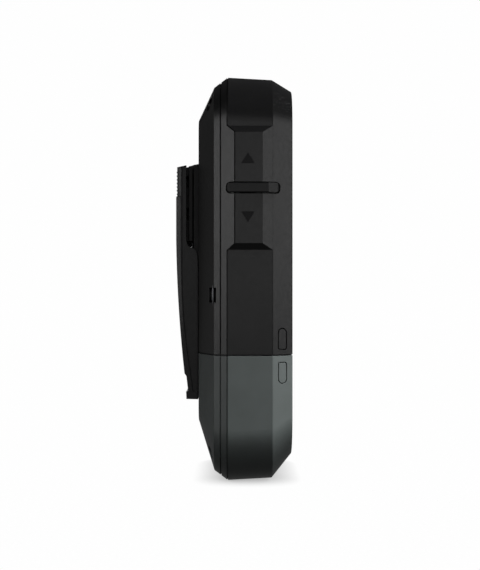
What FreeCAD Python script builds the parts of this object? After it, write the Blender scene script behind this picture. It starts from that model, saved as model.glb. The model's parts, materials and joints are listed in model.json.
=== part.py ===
"""Clip-on cordless radar detector with a slide-off battery tray.

Millimetres. +Z is up the unit, the display side faces -Y, the pocket clip is on +Y.
"""
import FreeCAD, Part
import math
import os

V = FreeCAD.Vector
FAR = 200.0

# ---- housing form: stations from the back face to the front face, each
# Y, half width, lowest Z, highest Z, lower corner radius, upper corner radius
BACK_FACE = (15.6, 20.0, 19.3, 119.7, 5.0, 4.5)
REAR_CREASE = (10.3, 32.1, 2.75, 130.25, 15.0, 13.0)
COVER_EDGE = (5.9, 35.0, -0.55, 133.55, 18.0, 16.0)
FRONT_CREASE = (-8.7, 35.0, 0.25, 132.75, 18.0, 16.0)
FRONT_FACE = (-15.2, 32.0, 8.55, 128.7, 14.0, 12.5)
STATIONS = (BACK_FACE, REAR_CREASE, COVER_EDGE, FRONT_CREASE, FRONT_FACE)
# share of a wall inset that also moves the station along Y, towards the middle
INSET_ALONG_Y = (-1.0, -0.65, 0.0, 0.0, 1.0)
FRONT_ROLL = 0.55
BACK_ROLL = 0.8
FRONT_CREASE_ROLL = 0.7
REAR_CREASE_ROLL = 0.6
# every node is written this much higher, so that the foot pads stand at Z = 0
LIFT = 0.64

WALL = 2.0
PARTING = 8.1
EDGE = COVER_EDGE[0]
FRONT = FRONT_FACE[0]
INNER_FRONT = FRONT + WALL
SIDE = COVER_EDGE[1]
GROOVE_WIDTH = 0.35
GROOVE_DEPTH = 0.3

# ---- seam between the main unit and the battery tray
SEAM = 42.0
SEAM_GAP = 0.4
LIP_INSET = 0.5
LIP_DROP = 0.25
CLEAR = 0.3

# ---- raised boss with the jog lever, on the -X side
BOSS_LOW = 75.9
BOSS_HIGH = 115.7
BOSS_RISE = 1.5
BOSS_END = 2.1
REAR_SLOPE = (SIDE - REAR_CREASE[1]) / (REAR_CREASE[0] - EDGE)
FRONT_SLOPE = (SIDE - FRONT_FACE[1]) / (FRONT_CREASE[0] - FRONT)
TAB_EDGE = EDGE - BOSS_RISE / REAR_SLOPE
BOSS_FRONT = FRONT_CREASE[0] + BOSS_RISE / FRONT_SLOPE
BOSS_TOP = SIDE + BOSS_RISE
TAB_FLOOR = SIDE - 1.1
MARK_Y = -0.74
MARK_WIDTH = 4.3
MARK_HEIGHT = 3.4
MARK_LOW = 84.7
MARK_HIGH = 103.6
MARK_DEPTH = 0.3
JOG_Z = 95.8
JOG_HEIGHT = 3.1
JOG_CORNER = 1.1
JOG_EDGE = 0.25
JOG_POCKET = 1.0
JOG_MARGIN = 0.35
JOG_REAR = 5.95
JOG_FRONT = -10.8
JOG_CREASE = -7.3
JOG_TOP = 37.6
JOG_TRAVEL = 0.9
STEM = (-3.0, 1.5)
STEM_HALF = 0.6
CARRIAGE_HALF = 3.7

# ---- oblong release buttons on the front chamfers
RELEASE_Y = -11.87
RELEASE_WIDTH = 2.6
RELEASE_HEIGHT = 6.5
RELEASE_CORNER = 0.5
RELEASE_UP = 47.25
RELEASE_DOWN = 36.3
RELEASE_FLANGE = 0.5
SKIN = 1.2
FLANGE_THICK = 0.7
WELL_DEPTH = 5.0
KEEPER_THICK = 0.6
CHAMFER = math.atan(FRONT_SLOPE)

# ---- front face
WINDOW_HALF = 24.0
WINDOW_Z = (87.0, 117.0)
WINDOW_THICK = 1.2
BEZEL = 2.0
LIGHT_HALF = 9.0
LIGHT_Z = (120.4, 122.4)
KEY_Z = 77.0
KEY_PITCH = 17.0
KEY_WIDTH = 11.0
KEY_HEIGHT = 5.6
SPEAKER_Z = 58.5
SPEAKER_RADIUS = 11.5
SLOT_COUNT = 5
SLOT_PITCH = 3.0
SLOT_WIDTH = 17.0
SLOT_HEIGHT = 1.3

# ---- main board and what stands on it
BOARD_BACK = -1.4
BOARD_FRONT = -2.6
BOARD_HALF = 28.0
BOARD_Z = (54.0, 119.0)
BOARD_FIXINGS = ((-25.0, 57.5), (25.0, 57.5), (-25.0, 114.5), (25.0, 114.5))
CAN_TOP = 2.6
HORN_Z = (96.0, 122.0)

# ---- housing screws along Y: (half spacing, Z)
TOP_SCREW = (25.5, 123.85)
LOW_SCREW = (14.0, 50.0)
TRAY_SCREW = (25.0, 9.7)
SHANK = 1.0
HEAD = 1.9
HEAD_HIGH = 1.6
BORE = 2.1
SCREW_FLOOR = 9.2
LOW_FLOOR = 11.0
POST = 2.2
TRAY_POST = 1.8

# ---- lanyard recess on the rear crease, -X side
LANYARD_Z = (58.9, 63.7)
LANYARD_Y = (9.55, 11.8)
LANYARD_X = -31.0
LANYARD_DEEP = -25.5
LANYARD_BAR_Y = 10.5
LANYARD_BAR = 0.3
LANYARD_BELLY = 0.48

# ---- battery tray
CELL_RADIUS = 5.2
CELL_Z = (17.3, 28.3)
CELL_Y = (-5.7, 5.5)
PLATE_X = 24.9
PLATE_THICK = 0.4
CELL_BODY = 43.3
NUB = 1.2
WEB = (-0.35, 0.15)
WALL_FOOT = 12.8
PAD_SPOTS = ((-14.0, -6.0), (14.0, -6.0), (-14.0, 3.2), (14.0, 3.2))
PAD_RADIUS = 1.6
PAD_SUNK = 0.8
PAD_PROUD = 0.15
DECK_SCREW = (18.0, -10.6)
NECK_HALF = 22.0
NECK_DEEP = 6.5
NECK_TOP = 46.9
DECK = (39.9, 41.5)
BULKHEAD = (42.3, 43.9)

# ---- pocket clip
PIVOT_Y = 18.7
PIVOT_Z = 74.7
PIN = 1.25
LEVER_HALF = 15.0
SKIRT = (12.8, 14.6)
LEVER_TOP = 105.0
LEVER_LOW = 26.2
LEVER_OUT = 23.35
LEVER_IN = 21.4
LEVER_SIDE = 0.75
SKIRT_FREE = 19.9
SKIRT_BODY = 15.95
LIP_TOP = 33.8
FOOT_TOP = 28.7
WEB_LOW = 65.0
WEB_HIGH = 70.55
BASE_HALF = 12.0
BASE_Z = (71.0, 105.7)
BASE_THICK = 2.3
BASE_FALL = 0.19
BASE_EDGE = 0.45
SPINE_HALF = 4.2
SPINE_Z = 78.0
BLOCK_HALF = 10.6
BLOCK_Z = 79.6
BLOCK_OUT = 20.2
BLOCK_STEP = (2.4, 19.2)
ROOM_IN = 22.2
EAR = 2.4
PAD_Z = (94.6, 103.2)
PAD_FLOOR = 22.6
PAD_OUT = 22.95
RIB_COUNT = 7
RIB_RADIUS = 0.28


# ---------------------------------------------------------------- helpers
def block(x, y, z):
    """Box between three pairs of limits."""
    return Part.makeBox(x[1] - x[0], y[1] - y[0], z[1] - z[0], V(x[0], y[0], z[0]))


def rod(radius, start, end):
    """Cylinder from one point to another."""
    start = V(*start)
    line = V(*end) - start
    return Part.makeCylinder(radius, line.Length, start, line)


def merge(shapes):
    """One solid from overlapping solids."""
    first = shapes[0]
    return first.fuse(shapes[1:]) if len(shapes) > 1 else first


def less(shape, tools):
    """A solid with every tool taken away."""
    return shape.cut(tools)


def prism(points, direction):
    """Straight prism over a closed polygon."""
    wire = Part.makePolygon([V(*p) for p in points + points[:1]])
    return Part.Face(wire).extrude(V(*direction))


def mirrored(shape):
    """The same shape on the other side of X = 0."""
    return shape.mirror(V(0, 0, 0), V(1, 0, 0))


def pair(shape):
    """A shape and its mirror image as separate solids."""
    return Part.makeCompound([shape, mirrored(shape)])


def keep(name, shape):
    """Write one node."""
    if not shape.isValid():
        raise ValueError(name)
    shape.translate(V(0, 0, LIFT))
    shape.exportStep(os.path.join("parts", name + ".step"))


def outline(y, half, low, high, r_low, r_high):
    """Rounded rectangle in a plane of constant Y."""
    corners = []
    for cx, cz, radius, start in (
        (half - r_high, high - r_high, r_high, 0),
        (r_high - half, high - r_high, r_high, 90),
        (r_low - half, low + r_low, r_low, 180),
        (half - r_low, low + r_low, r_low, 270),
    ):
        arc = []
        for step in (0, 45, 90):
            angle = math.radians(start + step)
            arc.append(V(cx + radius * math.cos(angle), y, cz + radius * math.sin(angle)))
        corners.append(arc)
    edges = []
    for index, arc in enumerate(corners):
        edges.append(Part.Arc(*arc).toShape())
        edges.append(Part.makeLine(arc[2], corners[(index + 1) % 4][0]))
    return Part.Wire(edges)


def form(inset):
    """Housing form, drawn in by an inset on every side."""
    wires = []
    for station, share in zip(STATIONS, INSET_ALONG_Y):
        y, half, low, high, r_low, r_high = station
        wires.append(outline(y + share * inset, half - inset, low + inset, high - inset,
                             r_low - inset, r_high - inset))
    return Part.makeLoft(wires, True, True)


def edges_at(shape, y):
    """Edges lying in a plane of constant Y."""
    return [e for e in shape.Edges if all(abs(v.Y - y) < 1e-6 for v in e.Vertexes)]


def rolled_form():
    """Outer form with its edges and creases rolled over."""
    shape = form(0.0)
    for station, radius in ((FRONT_FACE, FRONT_ROLL), (BACK_FACE, BACK_ROLL),
                            (FRONT_CREASE, FRONT_CREASE_ROLL), (REAR_CREASE, REAR_CREASE_ROLL)):
        shape = shape.makeFillet(radius, edges_at(shape, station[0]))
    return shape


OUTER = rolled_form()
CAVITY = form(WALL)
RING = OUTER.cut(CAVITY)


def band(back, front):
    """Part of the hollow housing between two planes of constant Y."""
    return RING.common(block((-FAR, FAR), (front, back), (-FAR, FAR)))


def main_side(shape):
    """The part above the seam, with the inner lip that hides the gap."""
    top = shape.common(block((-FAR, FAR), (-FAR, FAR), (SEAM + SEAM_GAP / 2, FAR)))
    low = block((-FAR, FAR), (-FAR, FAR), (SEAM + SEAM_GAP / 2 - LIP_DROP, SEAM + SEAM_GAP / 2))
    lip = shape.common(form(LIP_INSET)).common(low)
    return top.fuse(lip)


def tray_side(shape):
    """The part below the seam."""
    return shape.common(block((-FAR, FAR), (-FAR, FAR), (-FAR, SEAM - SEAM_GAP / 2)))


def groove(y):
    """Shallow ring round the housing at one parting plane."""
    slab = block((-FAR, FAR), (y - GROOVE_WIDTH / 2, y + GROOVE_WIDTH / 2), (-FAR, FAR))
    ring = slab.cut(form(GROOVE_DEPTH))
    if y == EDGE:
        beside = block((-FAR, -SIDE / 2), (-FAR, FAR), (BOSS_LOW, BOSS_HIGH))
        ring = ring.cut(beside)
    return ring


PARTING_GROOVE = groove(PARTING)
EDGE_GROOVE = groove(EDGE)


def coil(mean, wire, turns, length, base, direction):
    """Open coil spring standing on a base point."""
    helix = Part.makeHelix(length / turns, length, mean)
    section = Part.Wire(Part.makeCircle(wire, V(mean, 0, 0), V(0, 1, 0)))
    spring = Part.Wire(helix).makePipeShell([section], True, True)
    turn = FreeCAD.Rotation(V(0, 0, 1), V(*direction))
    spring.Placement = FreeCAD.Placement(V(*base), turn)
    return spring


def screw(x, z, floor, tip, head=HEAD, high=HEAD_HIGH, shank=SHANK):
    """Screw along Y with a cross-recessed pan head on its +Y end."""
    body = merge([rod(head, (x, floor, z), (x, floor + high, z)),
                  rod(shank, (x, tip, z), (x, floor + high / 2, z))])
    arm = head * 0.62
    slot = head * 0.16
    top = (floor + high / 2, floor + high + 1)
    body = less(body, [block((x - arm, x + arm), top, (z - slot, z + slot)),
                       block((x - slot, x + slot), top, (z - arm, z + arm))])
    return body


def at_sides(spot):
    """Both mirror positions of a fixing."""
    return ((-spot[0], spot[1]), (spot[0], spot[1]))


# ---------------------------------------------------------------- release buttons
def oblong(grow, low, high, upward):
    """Prism with one full-round end and one square end, about its own centre."""
    w = RELEASE_WIDTH / 2 + grow
    h = RELEASE_HEIGHT / 2 + grow
    r = RELEASE_CORNER + grow
    bend = r * (1 - math.sqrt(0.5))
    edges = [
        Part.makeLine(V(-w, r - h, 0), V(-w, h - w, 0)),
        Part.Arc(V(-w, h - w, 0), V(0, h, 0), V(w, h - w, 0)).toShape(),
        Part.makeLine(V(w, h - w, 0), V(w, r - h, 0)),
        Part.Arc(V(w, r - h, 0), V(w - bend, bend - h, 0), V(w - r, -h, 0)).toShape(),
        Part.makeLine(V(w - r, -h, 0), V(r - w, -h, 0)),
        Part.Arc(V(r - w, -h, 0), V(bend - w, bend - h, 0), V(-w, r - h, 0)).toShape(),
    ]
    shape = Part.Face(Part.Wire(edges)).extrude(V(0, 0, high - low))
    shape.translate(V(0, 0, low))
    if not upward:
        shape = shape.mirror(V(0, 0, 0), V(0, 1, 0))
    return shape


def on_chamfer(shape, z):
    """Stand a shape built about the origin on the -X front chamfer."""
    normal = V(-math.cos(CHAMFER), -math.sin(CHAMFER), 0)
    up = V(0, 0, 1)
    across = up.cross(normal)
    x = -(SIDE - (FRONT_CREASE[0] - RELEASE_Y) * FRONT_SLOPE)
    turn = FreeCAD.Rotation(across, up, normal, "ZXY")
    moved = shape.copy()
    moved.Placement = FreeCAD.Placement(V(x, RELEASE_Y, z), turn).multiply(moved.Placement)
    return moved


def release_button(z, upward):
    """Button with the flange that keeps it in its well."""
    cap = oblong(0.0, -SKIN - FLANGE_THICK, 0.0, upward)
    flange = oblong(RELEASE_FLANGE, -SKIN - FLANGE_THICK - 0.1, -SKIN - 0.1, upward)
    return on_chamfer(merge([cap, flange]), z)


def well_box(grow, top, bottom):
    """Square tube outline of a button well."""
    w = RELEASE_WIDTH / 2 + RELEASE_FLANGE + 0.2 + grow
    h = RELEASE_HEIGHT / 2 + RELEASE_FLANGE + 0.2 + grow
    return block((-w, w), (-h, h), (-bottom, -top))


def button_wells(shape, z, upward):
    """Add both wells of one height to a cover and open them."""
    wall = on_chamfer(well_box(0.8, SKIN / 2, WELL_DEPTH), z)
    hole = on_chamfer(oblong(CLEAR, -WELL_DEPTH, 1.0, upward), z)
    pocket = on_chamfer(well_box(0.0, SKIN, WELL_DEPTH + 1.0), z)
    wall = wall.common(OUTER)
    shape = shape.fuse([wall, mirrored(wall)])
    return less(shape, [hole, mirrored(hole), pocket, mirrored(pocket)])


def keeper(z):
    """Plate pressed into the open end of a well."""
    return on_chamfer(well_box(0.0, WELL_DEPTH - KEEPER_THICK, WELL_DEPTH), z)


def release_spring(z):
    """Coil between the keeper and the button flange."""
    floor = WELL_DEPTH - KEEPER_THICK
    length = floor - SKIN - FLANGE_THICK - 0.1
    wire = 0.2
    spring = coil(1.0, wire, 3.0, length - 2 * wire, (0, 0, wire - floor), (0, 0, 1))
    return on_chamfer(spring, z)


def well_space(z):
    """Room the wells of one height need inside the housing."""
    side = on_chamfer(well_box(1.1, 0.0, WELL_DEPTH + 0.4), z)
    return [side, mirrored(side)]


# ---------------------------------------------------------------- main unit housing
def tab_outline(margin):
    """Prism outline of the mid-frame tab that carries the rear slope of the boss."""
    back = 0.5
    rise = BOSS_END / (EDGE - TAB_EDGE)
    low = BOSS_LOW - back * rise - margin * 1.2
    high = BOSS_HIGH + back * rise + margin * 1.2
    inner_low = BOSS_LOW + BOSS_END - margin * 0.6
    inner_high = BOSS_HIGH - BOSS_END + margin * 0.6
    corners = [(EDGE + back, low), (TAB_EDGE - margin, inner_low),
               (TAB_EDGE - margin, inner_high), (EDGE + back, high)]
    start = TAB_FLOOR if margin == 0 else TAB_FLOOR - 0.1
    return prism([(-BOSS_TOP - 1, y, z) for y, z in corners], (BOSS_TOP + 1 - start, 0, 0))


def boss():
    """Low raised pad whose long slopes carry on the planes of the housing chamfers."""
    def frame(x, back, front, low, high):
        points = [V(x, back, low), V(x, front, low), V(x, front, high), V(x, back, high)]
        return Part.makePolygon(points + points[:1])
    base = frame(-SIDE, EDGE, FRONT_CREASE[0], BOSS_LOW, BOSS_HIGH)
    top = frame(-BOSS_TOP, TAB_EDGE, BOSS_FRONT, BOSS_LOW + BOSS_END, BOSS_HIGH - BOSS_END)
    root = block((-SIDE, -SIDE + 1), (FRONT_CREASE[0], EDGE), (BOSS_LOW, BOSS_HIGH))
    return Part.makeLoft([base, top], True, True).fuse(root)


BOSS = boss()


def marks():
    """Up and down triangles let into the boss."""
    half = MARK_WIDTH / 2
    x = -BOSS_TOP + MARK_DEPTH
    solids = []
    for base, way in ((MARK_HIGH, 1), (MARK_LOW + MARK_HEIGHT, -1)):
        points = [(x, MARK_Y - half, base), (x, MARK_Y + half, base),
                  (x, MARK_Y, base + way * MARK_HEIGHT)]
        solids.append(prism(points, (-MARK_DEPTH, 0, 0)))
    return solids


def key_shape(x, grow, back, front):
    """Rounded key prism along Y."""
    r = KEY_HEIGHT / 2 + grow
    flat = KEY_WIDTH / 2 - KEY_HEIGHT / 2
    ends = [rod(r, (x + side * flat, front, KEY_Z), (x + side * flat, back, KEY_Z)) for side in (-1, 1)]
    return merge([block((x - flat, x + flat), (front, back), (KEY_Z - r, KEY_Z + r))] + ends)


def key_centres():
    """X of the three front keys."""
    return (-KEY_PITCH, 0.0, KEY_PITCH)


def speaker_slots():
    """Horizontal sound slots with round ends, the outer ones shorter."""
    slots = []
    for index in range(SLOT_COUNT):
        step = index - (SLOT_COUNT - 1) / 2
        z = SPEAKER_Z + step * SLOT_PITCH
        half = SLOT_WIDTH / 2 - 1.2 * step * step * 0.8
        r = SLOT_HEIGHT / 2
        slots.append(block((-half, half), (FRONT - 1, INNER_FRONT + 1), (z - r, z + r)))
        for side in (-half, half):
            slots.append(rod(r, (side, FRONT - 1, z), (side, INNER_FRONT + 1, z)))
    return slots


def front_cover():
    """Display-side cover of the main unit."""
    shape = main_side(band(EDGE, -FAR))
    inside = WALL - SIDE
    ledge = block((inside - 0.8, inside + 1.2), (TAB_EDGE - 1.5, EDGE), (BOSS_LOW - 2, BOSS_HIGH + 2))
    shape = merge([shape, BOSS, ledge.common(OUTER)])
    shape = less(shape, [tab_outline(CLEAR), EDGE_GROOVE])
    posts = []
    for x, z in at_sides(TOP_SCREW) + at_sides(LOW_SCREW):
        posts.append(rod(POST, (x, INNER_FRONT - 0.5, z), (x, EDGE, z)))
    for x, z in BOARD_FIXINGS:
        posts.append(rod(POST, (x, INNER_FRONT - 0.5, z), (x, BOARD_FRONT, z)))
    for side in (-1, 1):
        posts.append(rod(1.6, (side * 27.0, INNER_FRONT - 0.5, KEY_Z), (side * 27.0, -11.6, KEY_Z)))
    shape = merge([shape] + posts)
    shape = button_wells(shape, RELEASE_UP, True)
    cuts = []
    for x, z in at_sides(TOP_SCREW) + at_sides(LOW_SCREW):
        cuts.append(rod(SHANK, (x, -4.0, z), (x, EDGE + 1, z)))
    for x, z in BOARD_FIXINGS:
        cuts.append(rod(0.8, (x, BOARD_FRONT - 5.0, z), (x, BOARD_FRONT + 1, z)))
    cuts.append(block((-WINDOW_HALF, WINDOW_HALF), (FRONT - 1, INNER_FRONT - 0.6), WINDOW_Z))
    inner = WINDOW_HALF - BEZEL
    through = (FRONT - 1, INNER_FRONT + 1)
    cuts.append(block((-inner, inner), through, (WINDOW_Z[0] + BEZEL, WINDOW_Z[1] - BEZEL)))
    cuts.append(block((-LIGHT_HALF, LIGHT_HALF), through, LIGHT_Z))
    for x in key_centres():
        cuts.append(key_shape(x, CLEAR, INNER_FRONT + 1, FRONT - 1))
    cuts.append(lens_block())
    slot_half = STEM_HALF + JOG_TRAVEL + 0.2
    slot_z = (JOG_Z - slot_half, JOG_Z + slot_half)
    cuts.append(block((-FAR, inside + 3), (STEM[0] - CLEAR, STEM[1] + CLEAR), slot_z))
    return less(shape, cuts + speaker_slots() + marks() + [jog_pocket()])


def mid_frame():
    """Centre ring of the main unit with the bulkhead above the battery neck."""
    ring = main_side(band(PARTING, EDGE))
    skirt = main_side(form(WALL - 0.5).cut(form(WALL + 1.4))).common(
        block((-FAR, FAR), (EDGE, PARTING), (-FAR, FAR)))
    tab = BOSS.fuse(OUTER).common(tab_outline(0.0)).common(block((-FAR, 0), (-FAR, EDGE), (-FAR, FAR)))
    plate = form(WALL + 0.05).common(block((-FAR, FAR), (-FAR, FAR), BULKHEAD))
    opening = block((-NECK_HALF - 1.2, NECK_HALF + 1.2), (-NECK_DEEP - 1.2, NECK_DEEP + 1.2), (0, 60))
    lugs = []
    for x, z in at_sides(TOP_SCREW) + at_sides(LOW_SCREW):
        lugs.append(rod(POST + 0.6, (x, EDGE, z), (x, PARTING, z)).common(OUTER))
    for side in (-1, 1):
        x = side * LOW_SCREW[0]
        lugs.append(block((x - 1.2, x + 1.2), (EDGE, PARTING), (BULKHEAD[1] - 0.5, LOW_SCREW[1])))
    shape = merge([ring, skirt, tab, plate] + lugs)
    cuts = [opening, PARTING_GROOVE, EDGE_GROOVE, jog_pocket()] + well_space(RELEASE_UP)
    for x, z in at_sides(TOP_SCREW) + at_sides(LOW_SCREW):
        cuts.append(rod(SHANK + 0.15, (x, EDGE - 1, z), (x, PARTING + 1, z)))
    return less(shape, cuts)


def lanyard_block():
    """Solid left inside the rear shell round the lanyard recess."""
    z = (LANYARD_Z[0] - 1.6, LANYARD_Z[1] + 1.6)
    return block((-SIDE, LANYARD_DEEP + 1.2), (PARTING, LANYARD_Y[1] + 2.2), z).common(OUTER)


def lanyard_recess():
    """Square-cut pocket across the rear crease, with the seats of its bar."""
    pocket = block((-FAR, LANYARD_DEEP), LANYARD_Y, LANYARD_Z)
    y = LANYARD_BAR_Y
    seat = rod(LANYARD_BAR, (LANYARD_X, y, LANYARD_Z[0] - 0.9), (LANYARD_X, y, LANYARD_Z[1] + 0.9))
    return pocket.fuse(seat)


def rear_shell():
    """Clip-side cover of the main unit."""
    shape = main_side(band(FAR, PARTING))
    added = [lanyard_block()]
    for x, z in at_sides(TOP_SCREW):
        added.append(rod(POST + 0.9, (x, PARTING, z), (x, SCREW_FLOOR + 3.0, z)).common(OUTER))
    for x, z in at_sides(LOW_SCREW):
        added.append(rod(POST + 1.0, (x, PARTING, z), (x, BACK_FACE[0] - WALL + 0.5, z)))
    for x, z in clip_fixings():
        added.append(rod(POST, (x, BACK_FACE[0] - WALL - 2.4, z), (x, BACK_FACE[0] - WALL + 0.5, z)))
    shape = merge([shape] + added)
    cuts = [PARTING_GROOVE, lanyard_recess()]
    for x, z in at_sides(TOP_SCREW):
        cuts.append(rod(BORE, (x, SCREW_FLOOR, z), (x, FAR, z)))
        cuts.append(rod(SHANK + 0.15, (x, PARTING - 1, z), (x, FAR, z)))
    for x, z in at_sides(LOW_SCREW):
        cuts.append(rod(BORE, (x, LOW_FLOOR, z), (x, FAR, z)))
        cuts.append(rod(SHANK + 0.15, (x, PARTING - 1, z), (x, FAR, z)))
    for x, z in clip_fixings():
        cuts.append(rod(SHANK, (x, BACK_FACE[0] - WALL - 2.0, z), (x, FAR, z)))
    return less(shape, cuts)


def lanyard_bar():
    """Barrel-shaped pin across the lanyard recess."""
    x = LANYARD_X
    y = LANYARD_BAR_Y
    low = LANYARD_Z[0] - 0.9
    high = LANYARD_Z[1] + 0.9
    mid = (low + high) / 2
    belly = LANYARD_BELLY
    neck = LANYARD_BAR
    core = [V(x + neck, y, low), V(x + neck, y, LANYARD_Z[0] + 0.2)]
    top = [V(x + neck, y, LANYARD_Z[1] - 0.2), V(x + neck, y, high)]
    edges = [Part.makeLine(V(x, y, low), core[0]), Part.makeLine(core[0], core[1]),
             Part.Arc(core[1], V(x + belly, y, mid), top[0]).toShape(),
             Part.makeLine(top[0], top[1]), Part.makeLine(top[1], V(x, y, high)),
             Part.makeLine(V(x, y, high), V(x, y, low))]
    return Part.Face(Part.Wire(edges)).revolve(V(x, y, 0), V(0, 0, 1), 360)


def shell_gasket():
    """Seal strip inside the parting between rear shell and mid frame."""
    course = block((-FAR, FAR), (PARTING, PARTING + 0.8), (SEAM + 4, FAR))
    ring = form(WALL).cut(form(WALL + 1.0)).common(course)
    cuts = [rod(POST + 1.0, (x, 0, z), (x, FAR, z)) for x, z in at_sides(TOP_SCREW)]
    return less(ring, cuts + [lanyard_block()])


def housing_screws():
    """Four screws that close the main unit."""
    solids = [screw(x, z, SCREW_FLOOR, -3.5) for x, z in at_sides(TOP_SCREW)]
    solids += [screw(x, z, LOW_FLOOR, -3.5) for x, z in at_sides(LOW_SCREW)]
    return Part.makeCompound(solids)


# ---------------------------------------------------------------- front face parts
def display_window():
    """Clear pane set just under the front face."""
    shape = block((-WINDOW_HALF, WINDOW_HALF), (FRONT + 0.15, FRONT + 0.15 + WINDOW_THICK), WINDOW_Z)
    return shape.makeFillet(0.12, edges_at(shape, FRONT + 0.15))


def display_panel():
    """Screen module behind the pane, with its metal frame."""
    half = WINDOW_HALF - 1.5
    z = (WINDOW_Z[0] + 1, WINDOW_Z[1] - 1)
    panel = block((-half, half), (INNER_FRONT, INNER_FRONT + 2.6), z)
    tail = block((-8, 8), (INNER_FRONT + 1.6, BOARD_FRONT), (z[0] + 2, z[0] + 3))
    return merge([panel, tail])


def alert_light():
    """Translucent bar that glows through the front face."""
    return merge([block((-LIGHT_HALF, LIGHT_HALF), (FRONT, INNER_FRONT + 0.2), LIGHT_Z),
                  block((-LIGHT_HALF - 1, LIGHT_HALF + 1), (INNER_FRONT, INNER_FRONT + 1.2),
                        (LIGHT_Z[0] - 0.7, LIGHT_Z[1] + 0.7))])


def front_key(x):
    """Key cap with its retaining flange."""
    cap = key_shape(x, 0.0, -12.5, FRONT)
    flange = key_shape(x, 0.7, -12.5, -13.1)
    return merge([cap, flange])


def keypad_membrane():
    """Rubber sheet with a dome under each key."""
    sheet = block((-29.0, 29.0), (-11.6, -10.8), (KEY_Z - 5, KEY_Z + 5))
    domes = [Part.makeCone(2.0, 1.2, 0.35, V(x, -11.55, KEY_Z), V(0, -1, 0)) for x in key_centres()]
    return merge([sheet] + domes)


def keypad_board():
    """Small board behind the keypad sheet."""
    return block((-29.0, 29.0), (-10.8, -10.0), (KEY_Z - 5, KEY_Z + 5))


def speaker_mesh():
    """Perforated disc behind the sound slots."""
    disc = rod(SPEAKER_RADIUS, (0, INNER_FRONT, SPEAKER_Z), (0, INNER_FRONT + 0.4, SPEAKER_Z))
    holes = []
    for ring, count in ((2.2, 6), (4.6, 12), (7.0, 18), (9.2, 24)):
        for index in range(count):
            angle = 2 * math.pi * index / count
            x = ring * math.cos(angle)
            z = SPEAKER_Z + ring * math.sin(angle)
            holes.append(rod(0.5, (x, INNER_FRONT - 1, z), (x, INNER_FRONT + 1, z)))
    return less(disc, holes)


def speaker():
    """Round loudspeaker: basket, cone recess and magnet."""
    front = INNER_FRONT + 0.4
    basket = rod(SPEAKER_RADIUS, (0, front, SPEAKER_Z), (0, front + 2.2, SPEAKER_Z))
    magnet = rod(6.5, (0, front + 2.0, SPEAKER_Z), (0, front + 4.8, SPEAKER_Z))
    dish = Part.makeCone(SPEAKER_RADIUS - 1.2, 4.0, 1.4, V(0, front, SPEAKER_Z), V(0, 1, 0))
    cap = Part.makeSphere(3.0, V(0, front + 3.2, SPEAKER_Z))
    keep_in = rod(4.0, (0, front + 0.1, SPEAKER_Z), (0, front + 2.5, SPEAKER_Z))
    return less(merge([basket, magnet]), [dish]).fuse(cap.common(keep_in))


def lens_block():
    """Room of the window in the top end."""
    return block((-8.0, 8.0), (-4.0, 3.0), (COVER_EDGE[3] - WALL - 1.5, FAR))


def laser_lens():
    """Dark window flush with the top end."""
    return OUTER.common(lens_block().common(block((-9, 9), (-9, 9), (COVER_EDGE[3] - WALL - 0.7, FAR))))


def laser_receiver():
    """Receiver block under the top window, on the rear of the board."""
    top = COVER_EDGE[3] - WALL - 0.7
    body = block((-5.0, 5.0), (BOARD_BACK, 2.4), (BOARD_Z[1] - 4, top))
    eye = rod(1.4, (0, 0.5, top - 1.2), (0, 0.5, top + 1))
    return less(body, [eye])


# ---------------------------------------------------------------- electronics
def main_board():
    """Circuit board with its four fixing holes."""
    board = block((-BOARD_HALF, BOARD_HALF), (BOARD_FRONT, BOARD_BACK), BOARD_Z)
    holes = [rod(0.95, (x, -5, z), (x, 1, z)) for x, z in BOARD_FIXINGS]
    return less(board, holes)


def board_screws():
    """Screws that hold the board on the cover posts."""
    solids = [screw(x, z, BOARD_BACK, BOARD_FRONT - 4.5, 1.5, 1.0, 0.8) for x, z in BOARD_FIXINGS]
    return Part.makeCompound(solids)


def board_components():
    """Processor, memory, coils, capacitors and the two headers."""
    rear = ((-12, 0, 66, 76, 1.4), (6, 14, 68, 76, 1.2), (-22, -17, 62, 68, 3.0), (17, 23, 62, 68, 3.0),
            (18, 24, 84, 92, 2.2), (-20, -16, 76, 82, 1.6), (6, 12, 60, 64, 1.0))
    solids = []
    for x0, x1, z0, z1, high in rear:
        solids.append(block((x0, x1), (BOARD_BACK, BOARD_BACK + high), (z0, z1)))
    for x in (-4.0, 1.0, 19.0):
        solids.append(rod(1.8, (x, BOARD_BACK, 81.5), (x, BOARD_BACK + 4.5, 81.5)))
    solids.append(block((-8, 8), (-10.0, BOARD_FRONT), (KEY_Z - 4.5, KEY_Z - 2.5)))
    solids.append(block((-20, -12), (BOARD_FRONT - 2.0, BOARD_FRONT), (94, 106)))
    return Part.makeCompound(solids)


def shield_can():
    """Sheet-metal can over the microwave stage."""
    outer = block((-14.0, 14.0), (BOARD_BACK, CAN_TOP), (86.0, 112.0))
    inner = block((-13.6, 13.6), (BOARD_BACK - 1, CAN_TOP - 0.4), (86.4, 111.6))
    holes = [rod(0.8, (x, CAN_TOP - 1, 89.0), (x, CAN_TOP + 1, 89.0)) for x in (-10, -5, 0, 5, 10)]
    return less(outer, [inner] + holes)


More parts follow.
